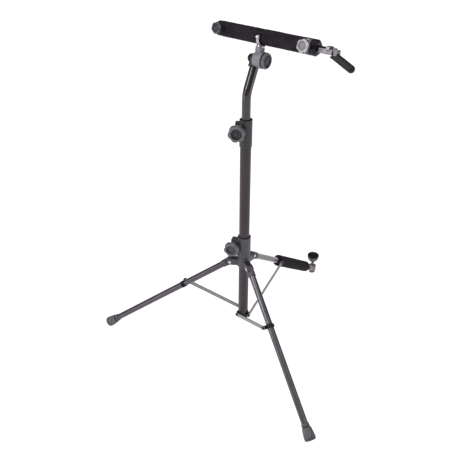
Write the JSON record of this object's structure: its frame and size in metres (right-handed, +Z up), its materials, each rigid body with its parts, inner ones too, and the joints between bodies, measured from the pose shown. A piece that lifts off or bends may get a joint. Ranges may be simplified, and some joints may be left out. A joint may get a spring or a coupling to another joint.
{
  "type": "bike repair stand",
  "caption": "Folding tripod work stand: column on hinged legs with stays, telescoping bent mast, tilting padded head beam with an extending hinged arm.",
  "frame": {"origin": "on the floor, under the middle of the stand's overall plan", "axes": "+Z up along the column, -X towards the front-left leg, the head beam runs level at 32 degrees clockwise from +X"},
  "size_m": [0.8224, 0.9301, 1.1297],
  "materials": {
    "column_paint": "satin dark plum-grey enamel",
    "leg_finish": "glossy gunmetal lacquer over tube",
    "mast_finish": "high-gloss dark plum lacquer",
    "zinc_steel": "zinc-plated flat steel and small fasteners",
    "bright_steel": "bright plated steel",
    "black_steel": "black oxide bolts and fittings",
    "grey_plastic": "moulded glass-filled nylon, mid grey",
    "dark_plastic": "moulded nylon, charcoal",
    "black_plastic": "moulded black plastic",
    "silver_knob": "silver-finished knob",
    "foam": "closed-cell foam sleeve",
    "rubber": "moulded grey rubber",
    "grip_rubber": "dipped black rubber"
  },
  "bodies": {
    "column": {"column_tube": "column_paint", "base_bracket": "black_plastic", "top_collar": "dark_plastic", "collar_bush": "black_plastic", "collar_screw": "black_steel"},
    "collar_knob_body": {"collar_knob": "grey_plastic"},
    "mast_guide_body": {"mast_guide": "black_plastic"},
    "mast": {"mast_tube": "mast_finish", "lower_knuckle": "dark_plastic", "tilt_bolt": "black_steel"},
    "tilt_knob_body": {"tilt_knob": "grey_plastic"},
    "head": {"upper_knuckle": "grey_plastic", "stem_tube": "zinc_steel", "beam_saddle": "black_steel", "saddle_bolt": "bright_steel", "beam_tube": "bright_steel", "beam_sleeve": "foam", "beam_end_cap": "black_plastic", "end_housing": "black_plastic", "clamp_flange": "grey_plastic", "flange_screws": "bright_steel", "end_boss": "dark_plastic"},
    "star_knob_body": {"star_knob": "silver_knob", "star_knob_screw": "bright_steel"},
    "end_knob_body": {"end_knob": "grey_plastic", "end_knob_screw": "zinc_steel"},
    "extension": {"extension_rod": "black_steel", "arm_clevis": "zinc_steel", "arm_bolt": "bright_steel"},
    "arm": {"arm_link": "zinc_steel", "arm_grip": "grip_rubber"},
    "hub": {"hub_collar": "dark_plastic", "hub_spider": "dark_plastic", "hub_liner": "black_plastic", "hub_screw": "black_steel", "leg_pins": "bright_steel"},
    "hub_knob_body": {"hub_knob": "grey_plastic"},
    "leg_a": {"leg_socket_a": "grey_plastic", "leg_tube_a": "leg_finish", "stay_bolt_a": "black_steel", "foot_a": "rubber"},
    "stay_a_body": {"stay_a": "zinc_steel", "stay_pin_a": "black_steel"},
    "leg_b": {"leg_socket_b": "grey_plastic", "leg_tube_b": "leg_finish", "stay_bolt_b": "black_steel", "foot_b": "rubber"},
    "stay_b_body": {"stay_b": "zinc_steel", "stay_pin_b": "black_steel"},
    "leg_c": {"leg_socket_c": "grey_plastic", "leg_tube_c": "leg_finish", "stay_bolt_c": "black_steel", "foam_grip": "foam", "levelling_boss": "grey_plastic"},
    "stay_c_body": {"stay_c": "zinc_steel", "stay_pin_c": "black_steel"},
    "levelling_foot": {"levelling_screw": "zinc_steel", "levelling_knob": "black_plastic", "levelling_pad": "rubber"}
  },
  "joints": [
    {"name": "hub_slide", "type": "slide", "parent": "column", "child": "hub", "axis": [0, 0, 1], "range_m": [0, 0.21172]},
    {"name": "leg_a_fold", "type": "hinge", "parent": "hub", "child": "leg_a", "pos_m": [0.07026, -0.00159, 0.3479], "axis": [0, -1, 0], "range_deg": [0, 54.5]},
    {"name": "stay_a_fold", "type": "hinge", "parent": "leg_a", "child": "stay_a_body", "pos_m": [-0.09745, -0.00159, 0.22828], "axis": [0, -1, 0], "range_deg": [-105.21, 0]},
    {"name": "leg_b_fold", "type": "hinge", "parent": "hub", "child": "leg_b", "pos_m": [0.14286, -0.04351, 0.3479], "axis": [0.866, 0.5, 0], "range_deg": [0, 54.5]},
    {"name": "stay_b_fold", "type": "hinge", "parent": "leg_b", "child": "stay_b_body", "pos_m": [0.22671, -0.18874, 0.22828], "axis": [0.866, 0.5, 0], "range_deg": [-105.21, 0]},
    {"name": "leg_c_fold", "type": "hinge", "parent": "hub", "child": "leg_c", "pos_m": [0.14286, 0.04033, 0.3479], "axis": [-0.866, 0.5, 0], "range_deg": [0, 54.5]},
    {"name": "stay_c_fold", "type": "hinge", "parent": "leg_c", "child": "stay_c_body", "pos_m": [0.22671, 0.18557, 0.22828], "axis": [-0.866, 0.5, 0], "range_deg": [-105.21, 0]},
    {"name": "hub_knob_turn", "type": "hinge", "parent": "hub", "child": "hub_knob_body", "pos_m": [0.08309, -0.0075, 0.413], "axis": [-0.1736, -0.9848, 0], "continuous": true},
    {"name": "collar_knob_turn", "type": "hinge", "parent": "column", "child": "collar_knob_body", "pos_m": [0.09416, -0.01259, 0.836], "axis": [0, -1, 0], "continuous": true},
    {"name": "mast_height", "type": "slide", "parent": "column", "child": "mast_guide_body", "axis": [0, 0, 1], "range_m": [-0.05, 0.2]},
    {"name": "mast_swivel", "type": "hinge", "parent": "mast_guide_body", "child": "mast", "pos_m": [0.11866, -0.00159, 0.566], "axis": [0, 0, 1], "range_deg": [-180, 180]},
    {"name": "head_tilt", "type": "hinge", "parent": "mast", "child": "head", "pos_m": [0.14259, 0.0367, 1.03958], "axis": [0.848, -0.5299, 0], "range_deg": [-80, 75]},
    {"name": "tilt_knob_turn", "type": "hinge", "parent": "mast", "child": "tilt_knob_body", "pos_m": [0.16599, 0.02208, 1.03958], "axis": [0.848, -0.5299, 0], "continuous": true},
    {"name": "star_knob_turn", "type": "hinge", "parent": "head", "child": "star_knob_body", "pos_m": [0.27937, -0.06143, 1.10768], "axis": [-0.5119, -0.8192, 0.2588], "continuous": true},
    {"name": "end_knob_turn", "type": "hinge", "parent": "head", "child": "end_knob_body", "pos_m": [0.02631, 0.09783, 1.10742], "axis": [-0.5119, -0.8192, 0.2588], "continuous": true},
    {"name": "arm_extension", "type": "slide", "parent": "head", "child": "extension", "axis": [0.848, -0.5299, 0], "range_m": [0, 0.09]},
    {"name": "arm_fold", "type": "hinge", "parent": "extension", "child": "arm", "pos_m": [0.344, -0.0684, 1.10526], "axis": [-0.5119, -0.8192, 0.2588], "range_deg": [0, 110]},
    {"name": "levelling_travel", "type": "slide", "parent": "leg_c", "child": "levelling_foot", "axis": [0, 0, -1], "range_m": [0, 0.008]}
  ],
  "couplings": [
    {"joint": "leg_a_fold", "follows": "hub_slide", "rad_per_m": 4.4927},
    {"joint": "stay_a_fold", "follows": "hub_slide", "rad_per_m": -8.6731},
    {"joint": "leg_b_fold", "follows": "hub_slide", "rad_per_m": 4.4927},
    {"joint": "stay_b_fold", "follows": "hub_slide", "rad_per_m": -8.6731},
    {"joint": "leg_c_fold", "follows": "hub_slide", "rad_per_m": 4.4927},
    {"joint": "stay_c_fold", "follows": "hub_slide", "rad_per_m": -8.6731}
  ]
}
